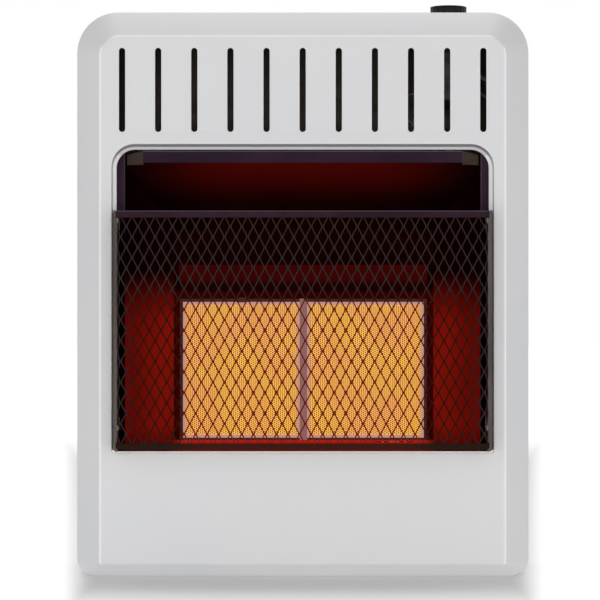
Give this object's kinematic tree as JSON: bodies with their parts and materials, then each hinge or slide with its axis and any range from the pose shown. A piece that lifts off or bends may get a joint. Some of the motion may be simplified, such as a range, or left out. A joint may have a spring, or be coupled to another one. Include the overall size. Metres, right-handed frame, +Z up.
{
  "type": "infrared gas heater",
  "caption": "Wall-hung ventless infrared gas heater with a bevelled steel casing, ceramic plaque burner, expanded-metal guard and a push-and-turn top knob.",
  "frame": {"origin": "centre of the bounding box at its lowest level, under the middle of the casing", "axes": "+X to the right seen from the front, -Y towards the front with the guard, +Z up"},
  "size_m": [0.475, 0.21, 0.6055],
  "materials": {
    "casing_paint": "pale grey satin powder coat",
    "guard_enamel": "black-purple high-temperature enamel",
    "firebox_enamel": "dark heat-resistant enamel, lit red by the plaques",
    "frame_steel": "heat-stained sheet steel",
    "plaque_ceramic": "perforated ceramic, glowing yellow-orange",
    "gasket_fibre": "pressed ceramic fibre",
    "burner_steel": "aluminised sheet steel",
    "galvanised_steel": "galvanised, light spangle",
    "brass": "machined",
    "cast_aluminium": "die cast, matt",
    "aluminium_tube": "drawn tube, satin",
    "copper": "copper lead",
    "spring_steel": "bright spring steel",
    "knob_plastic": "near-black moulded plastic, satin",
    "electrode_ceramic": "white glazed insulator"
  },
  "bodies": {
    "root": {"front_panel": "casing_paint", "cabinet": "casing_paint", "back_panel": "galvanised_steel", "guard_mesh": "guard_enamel", "guard_left_side": "guard_enamel", "guard_right_side": "guard_enamel", "guard_top_rail": "guard_enamel", "guard_bottom_rail": "guard_enamel", "guard_hook_upper_left": "guard_enamel", "guard_hook_lower_left": "guard_enamel", "guard_hook_upper_right": "guard_enamel", "guard_hook_lower_right": "guard_enamel", "hood": "firebox_enamel", "left_reflector": "firebox_enamel", "right_reflector": "firebox_enamel", "bottom_reflector": "firebox_enamel", "back_reflector": "firebox_enamel", "visor": "firebox_enamel", "plaque_frame": "frame_steel", "left_plaque": "plaque_ceramic", "right_plaque": "plaque_ceramic", "plaque_gasket": "gasket_fibre", "plaque_clip": "frame_steel", "plenum": "burner_steel", "venturi": "burner_steel", "injector": "brass", "injector_bracket": "galvanised_steel", "burner_bracket_left": "galvanised_steel", "burner_bracket_right": "galvanised_steel", "knob_well": "knob_plastic", "valve_body": "cast_aluminium", "valve_bracket": "galvanised_steel", "regulator": "cast_aluminium", "regulator_bracket": "galvanised_steel", "inlet_fitting": "brass", "inlet_tube": "aluminium_tube", "burner_tube": "aluminium_tube", "pilot_tube": "aluminium_tube", "pilot_burner": "brass", "pilot_bracket": "galvanised_steel", "thermocouple": "copper", "electrode": "electrode_ceramic"},
    "valve_plug": {"valve_plug": "brass", "knob_spring": "spring_steel"},
    "control_knob": {"control_knob": "knob_plastic", "valve_stem": "spring_steel"}
  },
  "joints": [
    {"name": "knob_turn", "type": "hinge", "parent": "root", "child": "valve_plug", "pos_m": [0.156, 0.015, 0.56], "axis": [0, 0, 1], "range_deg": [-240, 0]},
    {"name": "knob_push", "type": "slide", "parent": "valve_plug", "child": "control_knob", "axis": [0, 0, -1], "range_m": [0, 0.004], "stiffness_N_per_m": 500, "springref_m": -0.005, "deforming": ["knob_spring"]}
  ]
}
